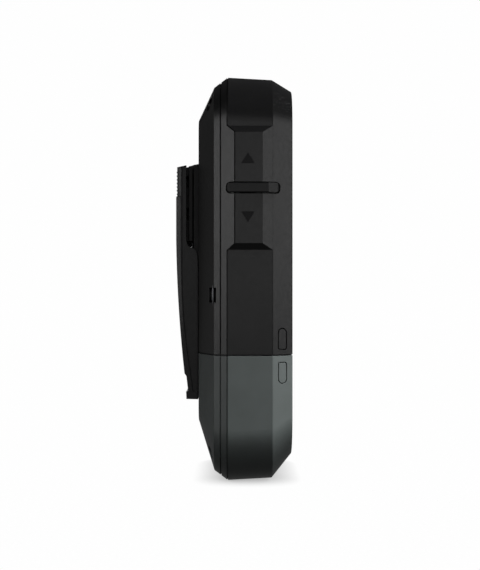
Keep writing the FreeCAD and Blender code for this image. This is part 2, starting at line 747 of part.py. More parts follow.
def horn_antenna():
    """Tapered horn that opens towards the top end."""
    def ring(z, half, high, inset):
        y = (CAN_TOP + inset, CAN_TOP + high - inset)
        points = [V(inset - half, y[0], z), V(half - inset, y[0], z),
                  V(half - inset, y[1], z), V(inset - half, y[1], z)]
        return Part.makePolygon(points + points[:1])
    low, high = HORN_Z
    outer = Part.makeLoft([ring(low, 5.0, 4.6, 0), ring(low + 6, 5.0, 4.6, 0),
                           ring(high, 13.0, 8.0, 0)], True, True)
    inner = Part.makeLoft([ring(low + 1, 5.0, 4.6, 0.8), ring(low + 6, 5.0, 4.6, 0.8),
                           ring(high + 0.01, 13.0, 8.0, 0.8)], True, True)
    return less(outer, [inner])


def contact_block():
    """Moulded block that carries the spring contacts."""
    body = block((-9.0, 9.0), (-3.5, BACK_FACE[0] - WALL), (48.8, BOARD_Z[0]))
    holes = [rod(0.6, (x, 0, 40), (x, 0, 50.0)) for x in contact_rows()]
    return less(body, holes)


def contact_rows():
    """X of the four battery contacts."""
    return (-6.0, -2.0, 2.0, 6.0)


def contact_pins():
    """Spring contact pins that point down at the neck."""
    solids = []
    for x in contact_rows():
        stem = rod(0.6, (x, 0, NECK_TOP + 0.9), (x, 0, 50.0))
        tip = Part.makeCone(0.25, 0.6, 0.6, V(x, 0, NECK_TOP + CLEAR), V(0, 0, 1))
        solids.append(merge([stem, tip]))
    return Part.makeCompound(solids)


def neck_seal():
    """Rubber ring in the bulkhead opening."""
    gap = NECK_HALF + 0.4
    deep = NECK_DEEP + 0.4
    outer = block((-NECK_HALF - 1.2, NECK_HALF + 1.2), (-NECK_DEEP - 1.2, NECK_DEEP + 1.2), BULKHEAD)
    return less(outer, [block((-gap, gap), (-deep, deep), (0, 60))])


def buzzer():
    """Small vibration motor glued to the rear shell."""
    y = BACK_FACE[0] - WALL - 4.0
    can = rod(4.0, (-12.0, y, 66.0), (0.0, y, 66.0))
    weight = less(rod(3.4, (-15.5, y, 66.0), (-12.6, y, 66.0)), [block((-30, 0), (y - 9, y - 0.6), (50, 80))])
    shaft = rod(0.6, (-15.0, y, 66.0), (-11.0, y, 66.0))
    return merge([can, weight, shaft])


# ---------------------------------------------------------------- jog lever
def chamfer_x(y):
    """X of the -X front chamfer plane at one Y."""
    return -SIDE - (y - FRONT_CREASE[0]) * FRONT_SLOPE


def jog_outline(grow, x):
    """Rounded bar outline of the jog cap as a prism along X."""
    y = (JOG_FRONT - grow, JOG_REAR + grow)
    half = JOG_HEIGHT / 2 + grow
    bar = block(x, y, (JOG_Z - half, JOG_Z + half))
    corners = [e for e in bar.Edges if abs(e.Vertexes[0].X - e.Vertexes[-1].X) > 1e-6]
    return bar.makeFillet(JOG_CORNER + grow, corners)


def jog_pocket():
    """Shallow recess under the jog cap that follows the surface."""
    floor = form(JOG_POCKET)
    lowered = BOSS.copy()
    lowered.translate(V(JOG_POCKET, 0, 0))
    return jog_outline(JOG_MARGIN, (-FAR, -SIDE + WALL + 1)).cut([floor, lowered])


def jog_lever():
    """Cross bar cap, its stem and the carriage behind the wall."""
    lift = JOG_TOP + chamfer_x(JOG_CREASE)
    under = 0.28
    profile = [
        (-SIDE - under, JOG_REAR), (-JOG_TOP + 0.9, JOG_REAR), (-JOG_TOP, JOG_REAR - 0.7),
        (-JOG_TOP, JOG_CREASE), (chamfer_x(JOG_FRONT + 0.5) - lift, JOG_FRONT + 0.5),
        (chamfer_x(JOG_FRONT) - lift + 0.8, JOG_FRONT), (chamfer_x(JOG_FRONT) - under, JOG_FRONT),
        (chamfer_x(BOSS_FRONT) - under, BOSS_FRONT), (-BOSS_TOP - under, TAB_EDGE),
    ]
    low = JOG_Z - JOG_HEIGHT / 2
    cap = prism([(x, y, low) for x, y in profile], (0, 0, JOG_HEIGHT))
    top = [e for e in cap.Edges if all(abs(v.X + JOG_TOP) < 1e-6 for v in e.Vertexes)
           and abs(e.Vertexes[0].Y - e.Vertexes[-1].Y) > 1e-6]
    cap = cap.makeFillet(JOG_EDGE, top).common(jog_outline(0.0, (-FAR, 0)))
    stem = block((-BOSS_TOP - under - 0.5, -SIDE + WALL), STEM, (JOG_Z - STEM_HALF, JOG_Z + STEM_HALF))
    carriage = block((-SIDE + WALL + 1.5, -SIDE + WALL + 3.3), (STEM[0] - 1.5, STEM[1] + 1.0),
                     (JOG_Z - CARRIAGE_HALF, JOG_Z + CARRIAGE_HALF))
    neck = block((-SIDE + WALL - 0.5, -SIDE + WALL + 2.0), STEM, (JOG_Z - STEM_HALF, JOG_Z + STEM_HALF))
    return merge([cap, stem, neck, carriage])


def jog_guide():
    """Bracket behind the wall that guides the carriage and backs its springs."""
    x = (-SIDE + WALL, -SIDE + WALL + 4.7)
    y = (STEM[0] - 2.6, STEM[1] - 0.2)
    outer = block(x, (y[0], STEM[1] + 0.4), (JOG_Z - 10.0, JOG_Z + 10.0))
    room = block((x[0] - 1, x[1] - 1.0), (y[0] + 0.8, FAR), (JOG_Z - 8.6, JOG_Z + 8.6))
    return less(outer, [room])


def jog_springs():
    """Two coils that centre the carriage."""
    x = -SIDE + WALL + 2.4
    y = -1.2
    wire = 0.18
    length = 8.6 - CARRIAGE_HALF - 2 * wire
    up = coil(0.9, wire, 4.0, length, (x, y, JOG_Z + CARRIAGE_HALF + wire), (0, 0, 1))
    down = up.copy()
    down.translate(V(0, 0, -8.6 - CARRIAGE_HALF))
    return Part.makeCompound([up, down])


def jog_switch():
    """Two-way switch on the board beside the carriage."""
    body = block((-27.9, -21.0), (BOARD_BACK, BOARD_BACK + 2.4), (JOG_Z - 4, JOG_Z + 4))
    return body


def arrow_marks():
    """Dark inlays that fill the two triangles."""
    return Part.makeCompound(marks())


# ---------------------------------------------------------------- battery tray
def tray_posts():
    """Screw posts of the tray, merged with its wall."""
    return [rod(TRAY_POST, (x, FRONT, z), (x, EDGE, z)).common(OUTER) for x, z in at_sides(TRAY_SCREW)]


def deck_posts():
    """Ribs that take the two deck screws."""
    posts = []
    x, y = DECK_SCREW
    foot = CELL_Z[1] + CELL_RADIUS + 0.7
    for side in (-x, x):
        posts.append(block((side - 2, side + 2), (INNER_FRONT - 0.5, y + 2), (foot, DECK[0])))
    return posts


def pad_frame(x, y):
    """Centre and outward normal of one pad on the sloping lower end."""
    slope = (FRONT_CREASE[2] - COVER_EDGE[2]) / (EDGE - FRONT_CREASE[0])
    centre = V(x, y, COVER_EDGE[2] + (EDGE - y) * slope)
    normal = V(0, -slope, -1).normalize()
    return centre, normal


def foot_pad(x, y, sunk):
    """One round pad let into the lower end."""
    centre, normal = pad_frame(x, y)
    start = centre - normal * sunk
    return Part.makeCylinder(PAD_RADIUS, sunk + PAD_PROUD, start, normal)


def foot_pads():
    """Four rubber pads the unit stands on."""
    return Part.makeCompound([foot_pad(x, y, PAD_SUNK) for x, y in PAD_SPOTS])


def tray_front_cover():
    """Display-side cover of the tray."""
    shape = merge([tray_side(band(EDGE, -FAR))] + tray_posts() + deck_posts())
    shape = button_wells(shape, RELEASE_DOWN, False)
    cuts = [EDGE_GROOVE] + [foot_pad(x, y, PAD_SUNK) for x, y in PAD_SPOTS]
    for x, z in at_sides(TRAY_SCREW):
        cuts.append(rod(SHANK, (x, -4.0, z), (x, EDGE + 1, z)))
    for x, y in at_sides(DECK_SCREW):
        cuts.append(rod(0.8, (x, y, 35.2), (x, y, FAR)))
    cuts.append(block((-FAR, FAR), (-FAR, FAR), (SEAM - SEAM_GAP / 2, FAR)))
    return less(shape, cuts)


def tray_mid_frame():
    """Centre ring of the tray."""
    ring = tray_side(band(PARTING, EDGE))
    skirt = tray_side(form(WALL - 0.5).cut(form(WALL + 1.2))).common(
        block((-FAR, FAR), (EDGE, PARTING), (-FAR, DECK[0] - 0.1)))
    lugs = [rod(POST, (x, EDGE, z), (x, PARTING, z)).common(OUTER) for x, z in at_sides(TRAY_SCREW)]
    cuts = [PARTING_GROOVE, EDGE_GROOVE]
    for x, z in at_sides(TRAY_SCREW):
        cuts.append(rod(SHANK + 0.15, (x, 0, z), (x, PARTING + 1, z)))
    return less(merge([ring, skirt] + lugs), cuts)


def tray_rear_shell():
    """Clip-side cover of the tray."""
    shape = tray_side(band(FAR, PARTING))
    added = [rod(POST + 0.6, (x, PARTING, z), (x, SCREW_FLOOR + 2.0, z)).common(OUTER)
             for x, z in at_sides(TRAY_SCREW)]
    shape = merge([shape] + added)
    cuts = [PARTING_GROOVE]
    for x, z in at_sides(TRAY_SCREW):
        cuts.append(rod(BORE, (x, SCREW_FLOOR, z), (x, FAR, z)))
        cuts.append(rod(SHANK + 0.15, (x, PARTING - 1, z), (x, FAR, z)))
    return less(shape, cuts)


def battery_cradle():
    """Deck, neck, web and end walls that hold the cells."""
    deck = form(WALL + 0.05).common(block((-FAR, FAR), (-FAR, FAR), DECK))
    neck = block((-NECK_HALF, NECK_HALF), (-NECK_DEEP, NECK_DEEP), (DECK[1] - 0.5, NECK_TOP))
    start = PLATE_X + PLATE_THICK
    tall = (WALL_FOOT, DECK[0] + 0.5)
    wide = (CELL_Y[0] - CELL_RADIUS, CELL_Y[1] + CELL_RADIUS)
    walls = [block((-start - 1.5, -start), wide, tall), block((start, start + 1.5), wide, tall),
             block((-start - 0.5, start + 0.5), WEB, tall)]
    room = form(WALL + 1.5)
    walls = [wall.common(room) for wall in walls]
    shape = merge([deck, neck] + walls)
    cuts = well_space(RELEASE_DOWN)
    for x, y in at_sides(DECK_SCREW):
        cuts.append(rod(0.9, (x, y, 30), (x, y, FAR)))
        cuts.append(rod(1.6, (x, y, DECK[1] - 1.0), (x, y, FAR)))
    hollow = block((-NECK_HALF + 1.6, NECK_HALF - 1.6), (-NECK_DEEP + 1.6, NECK_DEEP - 1.6),
                   (DECK[0] - 0.5, NECK_TOP - 1.6))
    cuts.append(hollow)
    for x in contact_rows():
        cuts.append(block((x - 1.5, x + 1.5), (-2.5, 2.5), (NECK_TOP - 0.3, FAR)))
    return less(shape, cuts)


def contact_pads():
    """Flat contacts let into the top of the neck."""
    return Part.makeCompound([block((x - 1.5, x + 1.5), (-2.5, 2.5), (NECK_TOP - 0.3, NECK_TOP))
                              for x in contact_rows()])


def cell_places():
    """Y, Z and direction of every cell; neighbours point opposite ways."""
    places = []
    for row, z in enumerate(CELL_Z):
        for column, y in enumerate(CELL_Y):
            places.append((y, z, 1 if (row + column) % 2 == 0 else -1))
    return places


def cell(y, z, way):
    """One cylindrical cell with its positive nub."""
    body_end = PLATE_X - NUB
    body = rod(CELL_RADIUS, (body_end - CELL_BODY, y, z), (body_end, y, z))
    cap = rod(1.9, (body_end, y, z), (PLATE_X, y, z))
    shape = merge([body, cap])
    return shape if way > 0 else mirrored(shape)


def battery_cells():
    """Four cells in two rows."""
    return Part.makeCompound([cell(*place) for place in cell_places()])


def cell_springs():
    """Negative-end coils."""
    wire = 0.3
    room = 2 * PLATE_X - CELL_BODY - NUB
    solids = []
    for y, z, way in cell_places():
        solids.append(coil(2.2, wire, 3.0, room - 2 * wire, (way * (wire - PLATE_X), y, z), (way, 0, 0)))
    return Part.makeCompound(solids)


def cell_plates():
    """Contact plates on both end walls."""
    solids = []
    for side in (-1, 1):
        x = sorted((side * PLATE_X, side * (PLATE_X + PLATE_THICK)))
        for y in CELL_Y:
            for z in CELL_Z:
                solids.append(block(x, (y - 3.4, y + 3.4), (z - 3.4, z + 3.4)))
    return Part.makeCompound(solids)


def tray_screws():
    """Two corner screws of the tray."""
    return Part.makeCompound([screw(x, z, SCREW_FLOOR, -3.5) for x, z in at_sides(TRAY_SCREW)])


def deck_screws():
    """Two screws that hold the deck down."""
    solids = []
    for x, y in at_sides(DECK_SCREW):
        head = rod(1.5, (x, y, DECK[1] - 1.0), (x, y, DECK[1]))
        shank = rod(0.8, (x, y, 35.8), (x, y, DECK[1] - 0.5))
        slot = block((x - 1.0, x + 1.0), (y - 0.2, y + 0.2), (DECK[1] - 0.5, DECK[1] + 1))
        solids.append(less(merge([head, shank]), [slot]))
    return Part.makeCompound(solids)


# ---------------------------------------------------------------- pocket clip
def clip_fixings():
    """Screw places of the clip base: (X, Z)."""
    return ((-7.6, 100.0), (7.6, 100.0), (-7.6, 89.0), (7.6, 89.0))


def base_top(y):
    """Z of the sloping upper end of the clip base."""
    return BASE_Z[1] - (y - BACK_FACE[0]) * BASE_FALL


def clip_base():
    """Plate with a raised block, a spine and two ears for the hinge pin."""
    y = (BACK_FACE[0], BACK_FACE[0] + BASE_THICK)
    plate = block((-BASE_HALF, BASE_HALF), y, (BASE_Z[0], BASE_Z[1] + 1))
    long_edges = [e for e in plate.Edges if all(v.Y > y[1] - 1e-6 for v in e.Vertexes)
                  and abs(e.Vertexes[0].Z - e.Vertexes[-1].Z) > 1e-6]
    plate = plate.makeChamfer(BASE_EDGE, long_edges)
    raised = block((-BLOCK_HALF, BLOCK_HALF), (y[0] + 0.5, BLOCK_STEP[1]), (BLOCK_Z, BASE_Z[1] + 1))
    inner = BLOCK_HALF - BLOCK_STEP[0]
    crown = block((-inner, inner), (y[0] + 0.5, BLOCK_OUT), (BLOCK_Z, BASE_Z[1] + 1))
    spine = block((-SPINE_HALF, SPINE_HALF), (y[0] + 0.5, BLOCK_OUT), (SPINE_Z, BLOCK_Z + 1))
    ears = []
    for side in (-1, 1):
        x = sorted((side * (BASE_HALF - 3.0), side * BASE_HALF))
        ears.append(block(x, (y[0], PIVOT_Y), (PIVOT_Z - EAR, PIVOT_Z + EAR)))
        ears.append(rod(EAR, (x[0], PIVOT_Y, PIVOT_Z), (x[1], PIVOT_Y, PIVOT_Z)))
    shape = merge([plate, raised, crown, spine] + ears)
    far = BLOCK_OUT + 5
    near = y[0] - 1
    above = [(-20, near, base_top(near)), (-20, far, base_top(far)), (-20, far, 120), (-20, near, 120)]
    cuts = [rod(PIN, (-20, PIVOT_Y, PIVOT_Z), (20, PIVOT_Y, PIVOT_Z)), prism(above, (40, 0, 0))]
    cuts.append(block((-BASE_HALF + 3.0, BASE_HALF - 3.0), (y[0] + 0.6, FAR), (PIVOT_Z - 2.6, PIVOT_Z + 2.6)))
    for x, z in clip_fixings():
        cuts.append(rod(SHANK + 0.1, (x, 0, z), (x, FAR, z)))
        cuts.append(rod(HEAD + 0.1, (x, y[1] - 1.0, z), (x, FAR, z)))
    return less(shape, cuts)


def clip_base_screws():
    """Screws that hold the clip base."""
    top = BACK_FACE[0] + BASE_THICK
    tip = BACK_FACE[0] - WALL - 1.8
    return Part.makeCompound([screw(x, z, top - 1.0, tip, HEAD, 0.9, SHANK) for x, z in clip_fixings()])


def lever_outline(x, thin):
    """Side outline of the lever plate; a thin one keeps only a strip along its inner face."""
    def at(y, z):
        return V(x, y - thin * max(0.0, y - SKIRT_FREE) / (LEVER_OUT - SKIRT_FREE), z)
    top = at(LEVER_OUT - 0.35, LEVER_TOP - 0.65)
    step_high = at(LEVER_OUT - 0.35, PAD_Z[0])
    step_low = at(LEVER_OUT, PAD_Z[0] - 0.25)
    bend = at(LEVER_OUT, 80.0)
    toe = V(x, SKIRT_BODY, LEVER_LOW - 0.1)
    heel = V(x, SKIRT_BODY, FOOT_TOP)
    jaw = V(x, 17.7, FOOT_TOP)
    knee = V(x, 18.4, 34.2)
    inner_bend = V(x, LEVER_IN, 72.0)
    inner_top = V(x, LEVER_IN, LEVER_TOP - 0.3)
    edges = [Part.makeLine(inner_top, top), Part.makeLine(top, step_high),
             Part.makeLine(step_high, step_low), Part.makeLine(step_low, bend)]
    lip = at(20.55, 34.8)
    edges.append(Part.Arc(bend, at(22.5, 57.3), lip).toShape())
    corners = [lip, at(19.85, LIP_TOP), at(19.3, FOOT_TOP + 0.3), at(20.0, FOOT_TOP - 0.1),
               at(19.85, LEVER_LOW), toe, heel, jaw, knee]
    for start, end in zip(corners, corners[1:]):
        edges.append(Part.makeLine(start, end))
    edges.append(Part.Arc(knee, V(x, 20.8, 54.0), inner_bend).toShape())
    edges.append(Part.makeLine(inner_bend, inner_top))
    return Part.Wire(edges)


def lever_plate():
    """Outer plate of the lever, its long sides sloping in towards the outer face."""
    flat = LEVER_HALF - LEVER_SIDE
    plate = Part.Face(lever_outline(-flat, 0.0)).extrude(V(2 * flat, 0, 0))
    side = Part.makeLoft([lever_outline(-flat, 0.0), lever_outline(-LEVER_HALF, 1.5)], True, True)
    return merge([plate, side, mirrored(side)])


def lever_skirt(side):
    """One side wall of the lever: shallow above the pivot, down to the housing below it."""
    x = sorted((side * SKIRT[0], side * SKIRT[1]))
    points = [
        (LEVER_IN + 0.2, LEVER_TOP - 0.4), (SKIRT_FREE, LEVER_TOP), (SKIRT_FREE, 79.8), (19.6, 78.4),
        (19.0, 77.6), (18.0, 77.2), (16.9, 76.6), (16.2, 75.2), (SKIRT_BODY, 72.0),
        (SKIRT_BODY, FOOT_TOP - 1), (18.7, FOOT_TOP - 1), (18.7, 34.2), (20.0, 40.0), (21.2, 54.0),
        (LEVER_IN + 0.2, 72.0),
    ]
    return prism([(x[0], y, z) for y, z in points], (x[1] - x[0], 0, 0))


def lever_web():
    """Solid web that closes the throat between the skirts, hollowed round the ears of the base."""
    x = (-SKIRT[0] - 0.1, SKIRT[0] + 0.1)
    low = block(x, (SKIRT_BODY, LEVER_IN + 0.1), (WEB_LOW, WEB_HIGH))
    high = block(x, (BACK_FACE[0] + BASE_THICK + CLEAR, LEVER_IN + 0.1), (WEB_HIGH, PIVOT_Z - 1))
    return low.fuse(high).cut(rod(EAR + CLEAR, (x[0] - 1, PIVOT_Y, PIVOT_Z), (x[1] + 1, PIVOT_Y, PIVOT_Z)))


def clip_lever():
    """Lever of the pocket clip."""
    shape = merge([lever_plate(), lever_skirt(-1), lever_skirt(1), lever_web()])
    knuckles = []
    for side in (-1, 1):
        x = sorted((side * (BASE_HALF + CLEAR), side * SKIRT[1]))
        knuckles.append(rod(EAR, (x[0], PIVOT_Y, PIVOT_Z), (x[1], PIVOT_Y, PIVOT_Z)))
    shape = merge([shape] + knuckles)
    reach = SKIRT[1] - 0.5
    cuts = [rod(PIN + 0.03, (-reach, PIVOT_Y, PIVOT_Z), (reach, PIVOT_Y, PIVOT_Z))]
    cuts.append(block((-FAR, FAR), (PAD_FLOOR, FAR), PAD_Z))
    for half, low in ((SPINE_HALF + 0.35, SPINE_Z - 0.4), (BLOCK_HALF + 0.6, BLOCK_Z - 0.5)):
        cuts.append(block((-half, half), (17.0, ROOM_IN), (low, FAR)))
    return less(shape, cuts)


def clip_grip_pad():
    """Ribbed rubber pad let into the top of the lever."""
    half = LEVER_HALF - LEVER_SIDE
    pad = block((-half, half), (PAD_FLOOR, PAD_OUT), PAD_Z)
    pitch = (PAD_Z[1] - PAD_Z[0]) / RIB_COUNT
    ribs = []
    for index in range(RIB_COUNT):
        z = PAD_Z[0] + (index + 0.5) * pitch
        ribs.append(rod(RIB_RADIUS, (-half, PAD_OUT - 0.05, z), (half, PAD_OUT - 0.05, z)))
    return merge([pad] + ribs)


def clip_pin():
    """Hinge pin."""
    reach = SKIRT[1] - 0.7
    return rod(PIN, (-reach, PIVOT_Y, PIVOT_Z), (reach, PIVOT_Y, PIVOT_Z))


def clip_spring():
    """Torsion spring on the hinge pin, one leg on the base and one under the lever."""
    wire = 0.35
    mean = PIN + wire + 0.15
    width = 10.0
    body = coil(mean, wire, 8.0, width, (-width / 2, PIVOT_Y, PIVOT_Z), (1, 0, 0))
    reach = 4.4
    first = (-width / 2, PIVOT_Y - 0.45, PIVOT_Z + mean)
    second = (width / 2, PIVOT_Y + mean, PIVOT_Z)
    leg_one = rod(wire, first, (first[0], BACK_FACE[0] + BASE_THICK + wire, PIVOT_Z + reach))
    leg_two = rod(wire, second, (second[0], LEVER_IN - wire, PIVOT_Z + reach))
    return Part.makeCompound([body, leg_one, leg_two])


def main():
    """Build and write every node."""
    os.makedirs("parts", exist_ok=True)
    nodes = {
        "front_cover": front_cover(), "mid_frame": mid_frame(), "rear_shell": rear_shell(),
        "lanyard_bar": lanyard_bar(), "shell_gasket": shell_gasket(), "housing_screws": housing_screws(),
        "display_window": display_window(), "display_panel": display_panel(), "alert_light": alert_light(),
        "power_button": front_key(-KEY_PITCH), "mode_button": front_key(0.0),
        "mute_button": front_key(KEY_PITCH),
        "keypad_membrane": keypad_membrane(), "keypad_board": keypad_board(), "speaker_mesh": speaker_mesh(),
        "speaker": speaker(), "laser_lens": laser_lens(), "laser_receiver": laser_receiver(),
        "main_board": main_board(), "board_screws": board_screws(), "board_components": board_components(),
        "shield_can": shield_can(), "horn_antenna": horn_antenna(), "contact_block": contact_block(),
        "contact_pins": contact_pins(), "neck_seal": neck_seal(), "buzzer": buzzer(),
        "jog_lever": jog_lever(), "jog_guide": jog_guide(), "jog_springs": jog_springs(),
        "jog_switch": jog_switch(), "arrow_marks": arrow_marks(),
        "release_button_left": release_button(RELEASE_UP, True),
        "release_button_right": mirrored(release_button(RELEASE_UP, True)),
        "release_keepers": pair(keeper(RELEASE_UP)), "release_springs": pair(release_spring(RELEASE_UP)),
        "tray_button_left": release_button(RELEASE_DOWN, False),
        "tray_button_right": mirrored(release_button(RELEASE_DOWN, False)),
        "tray_keepers": pair(keeper(RELEASE_DOWN)), "tray_springs": pair(release_spring(RELEASE_DOWN)),
        "tray_front_cover": tray_front_cover(), "tray_mid_frame": tray_mid_frame(),
        "tray_rear_shell": tray_rear_shell(), "battery_cradle": battery_cradle(),
        "contact_pads": contact_pads(), "foot_pads": foot_pads(),
        "battery_cells": battery_cells(), "cell_springs": cell_springs(),
        "cell_plates": cell_plates(), "tray_screws": tray_screws(), "deck_screws": deck_screws(),
        "clip_base": clip_base(), "clip_base_screws": clip_base_screws(), "clip_lever": clip_lever(),
        "clip_grip_pad": clip_grip_pad(), "clip_pin": clip_pin(), "clip_spring": clip_spring(),
    }
    for name, shape in nodes.items():
        print(name, shape.isValid(), len(shape.Solids), round(shape.Volume, 1))
        keep(name, shape)


main()
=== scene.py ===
import bpy
import json
import math
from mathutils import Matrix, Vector


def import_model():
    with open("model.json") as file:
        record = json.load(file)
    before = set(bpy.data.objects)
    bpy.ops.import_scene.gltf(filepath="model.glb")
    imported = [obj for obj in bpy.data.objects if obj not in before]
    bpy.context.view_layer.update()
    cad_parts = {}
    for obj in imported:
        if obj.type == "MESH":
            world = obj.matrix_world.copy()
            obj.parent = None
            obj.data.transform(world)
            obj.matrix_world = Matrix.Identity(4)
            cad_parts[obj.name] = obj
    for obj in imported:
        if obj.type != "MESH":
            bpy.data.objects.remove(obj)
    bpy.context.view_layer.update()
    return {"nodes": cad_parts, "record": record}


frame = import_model()

# metres, except where a name or comment says otherwise
PAINTED_SHADE_REACH = 0.0022         # how far out a groove's wall still darkens its floor with painted shade
EDGE_PLASTIC = 0.00015        # radius that softens the edges of plastic pieces
EDGE_CLIP = 0.0003
EDGE_METAL = 0.0001
GRAIN_DEPTH = 0.00001
CLOUD_SCALE = 70.0            # features per metre, like all noise scales
SHEEN_SWING = 0.025           # how far the roughness wanders either side

MIDDLE = Vector((0.0, 0.0, 0.067))    # the point that the lamps are aimed at
FLOOR_HALF = 6.0
SHADOW_REACH = 0.0085         # how near to the unit the floor's painted shadow starts
SHADOW_FLOOR = 0.12           # brightness of the painted shadow right under the unit
SHADOW_LEAN = (-0.9, 0.436)   # X and Z of the way that the floor looks for the unit: the painted shadow lies dark on +X
PAPER_SEEN = 0.992            # brightness of the background to the camera
ROOM_LIGHT = 0.03             # brightness of the room to everything else
FLOOR_LIGHT = 0.04            # the same for the floor, and what reflections see on top
FLOOR_MIRRORED = 0.12
LAMP_WATTS = 4.0              # lamp power per square metre of panel at a radiance setting of 1

LENS_MM = 78.74
SENSOR_MM = 36.0
EYE = (-0.435, 0.0018, 0.06524)


# ---------------------------------------------------------------- material helpers
def new_material(name):
    """An empty node material with its shader and output."""
    material = bpy.data.materials.new(name)
    material.use_nodes = True
    nodes = material.node_tree.nodes
    nodes.clear()
    shader = nodes.new("ShaderNodeBsdfPrincipled")
    output = nodes.new("ShaderNodeOutputMaterial")
    material.node_tree.links.new(shader.outputs[0], output.inputs[0])
    return material, shader


def noise(material, scale, detail=2.0, stretch=None):
    """Noise in object space; scale is features per metre."""
    tree = material.node_tree
    coords = tree.nodes.new("ShaderNodeTexCoord")
    texture = tree.nodes.new("ShaderNodeTexNoise")
    texture.inputs["Scale"].default_value = scale
    texture.inputs["Detail"].default_value = detail
    if stretch:
        mapping = tree.nodes.new("ShaderNodeMapping")
        mapping.inputs["Scale"].default_value = stretch
        tree.links.new(coords.outputs["Object"], mapping.inputs[0])
        tree.links.new(mapping.outputs[0], texture.inputs["Vector"])
    else:
        tree.links.new(coords.outputs["Object"], texture.inputs["Vector"])
    return texture.outputs["Fac"]


def remap(material, value, low, high):
    """Map the middle of a 0-1 value's span to a range, flat beyond both ends."""
    node = material.node_tree.nodes.new("ShaderNodeMapRange")
    node.inputs["From Min"].default_value = 0.3
    node.inputs["From Max"].default_value = 0.7
    node.inputs["To Min"].default_value = low
    node.inputs["To Max"].default_value = high
    material.node_tree.links.new(value, node.inputs["Value"])
    return node.outputs[0]


def mix_colour(material, value, first, second):
    """Blend two colours by a value."""
    node = material.node_tree.nodes.new("ShaderNodeMix")
    node.data_type = "RGBA"
    node.inputs["A"].default_value = (*first, 1)
    node.inputs["B"].default_value = (*second, 1)
    material.node_tree.links.new(value, node.inputs["Factor"])
    return node.outputs["Result"]


def bump(material, shader, value, strength, distance, edge):
    """Drive the shader's normal from a height, over edges softened by a small radius."""
    tree = material.node_tree
    soft = tree.nodes.new("ShaderNodeBevel")
    soft.samples = 4
    soft.inputs["Radius"].default_value = edge
    node = tree.nodes.new("ShaderNodeBump")
    node.inputs["Strength"].default_value = strength
    node.inputs["Distance"].default_value = distance
    tree.links.new(soft.outputs[0], node.inputs["Normal"])
    tree.links.new(value, node.inputs["Height"])
    tree.links.new(node.outputs[0], shader.inputs["Normal"])


def shade_colour(material, factor, colour):
    """A colour socket that is black where the factor is 0 and itself where it is 1."""
    node = material.node_tree.nodes.new("ShaderNodeMix")
    node.data_type = "RGBA"
    node.inputs["A"].default_value = (0, 0, 0, 1)
    material.node_tree.links.new(factor, node.inputs["Factor"])
    material.node_tree.links.new(colour, node.inputs["B"])
    return node.outputs["Result"]


def openness(material):
    """How open the surface is within its own piece: 1 on a plain face, near 0 deep in a groove; it sets
    where painted shade falls.
    """
    node = material.node_tree.nodes.new("ShaderNodeAmbientOcclusion")
    node.samples = 8
    node.only_local = True
    node.inputs["Distance"].default_value = PAINTED_SHADE_REACH
    return node.outputs["AO"]


def dull_where_closed(material, factor, roughness):
    """A roughness that rises to fully matt where the factor is 0."""
    node = material.node_tree.nodes.new("ShaderNodeMix")
    node.inputs["A"].default_value = 1.0
    material.node_tree.links.new(factor, node.inputs["Factor"])
    material.node_tree.links.new(roughness, node.inputs["B"])
    return node.outputs["Result"]


def plastic(name, colour, rough, grain=5200.0, depth=GRAIN_DEPTH, spread=0.10, specular=0.25,
            edge=EDGE_PLASTIC, painted_shade_keep=0.0):
    """Moulded plastic: fine spark-eroded grain, uneven sheen, dull in its own grooves, where painted
    shade also darkens its colour.

    The last argument is the share of its colour that the painted shade keeps deep in a groove.
    """
    material, shader = new_material(name)
    # painted shade: ambient occlusion within the piece blackens the colour in grooves, seams and
    # recesses, and dulls the sheen there too
    painted_groove_shade = remap(material, openness(material), painted_shade_keep, 1.0)
    cloud = remap(material, noise(material, CLOUD_SCALE, 3.0), 0.0, 1.0)
    dark = [c * (1 - spread) for c in colour]
    light = [min(1.0, c * (1 + spread)) for c in colour]
    # painted shade darkens this colour towards black deep in grooves
    tone = shade_colour(material, painted_groove_shade, mix_colour(material, cloud, dark, light))
    material.node_tree.links.new(tone, shader.inputs["Base Color"])
    sheen = remap(material, noise(material, grain / 6, 2.0), rough - SHEEN_SWING, rough + SHEEN_SWING)
    roughness = dull_where_closed(material, painted_groove_shade, sheen)
    material.node_tree.links.new(roughness, shader.inputs["Roughness"])
    shader.inputs["Specular IOR Level"].default_value = specular
    bump(material, shader, noise(material, grain, 1.0), 0.6, depth, edge)
    return material


def metal(name, colour, rough, stretch=(1, 1, 12)):
    """Plated or drawn metal with fine draw lines."""
    material, shader = new_material(name)
    lines = noise(material, 2600.0, 2.0, stretch)
    tone = remap(material, lines, 0.0, 1.0)
    dark = [c * 0.85 for c in colour]
    material.node_tree.links.new(mix_colour(material, tone, dark, colour), shader.inputs["Base Color"])
    shader.inputs["Metallic"].default_value = 1.0
    roughness = remap(material, lines, rough - 0.06, rough + 0.08)
    material.node_tree.links.new(roughness, shader.inputs["Roughness"])
    bump(material, shader, lines, 0.25, GRAIN_DEPTH, EDGE_METAL)
    return material


def gloss(name, colour, rough=0.06, coat=0.5):
    """Polished pane with faint smears."""
    material, shader = new_material(name)
    smear = remap(material, noise(material, 90.0, 4.0), rough, rough + 0.05)
    material.node_tree.links.new(smear, shader.inputs["Roughness"])
    tint = remap(material, noise(material, 30.0, 2.0), 0.0, 1.0)
    light = [min(1.0, c * 1.25 + 0.002) for c in colour]
    material.node_tree.links.new(mix_colour(material, tint, colour, light), shader.inputs["Base Color"])
    shader.inputs["Coat Weight"].default_value = coat
    shader.inputs["Coat Roughness"].default_value = 0.04
    return material


def rubber(name, colour):
    """Matt rubber with a soft bloom."""
    return plastic(name, colour, 0.78, 3800.0, 3 * GRAIN_DEPTH, 0.18, 0.3)


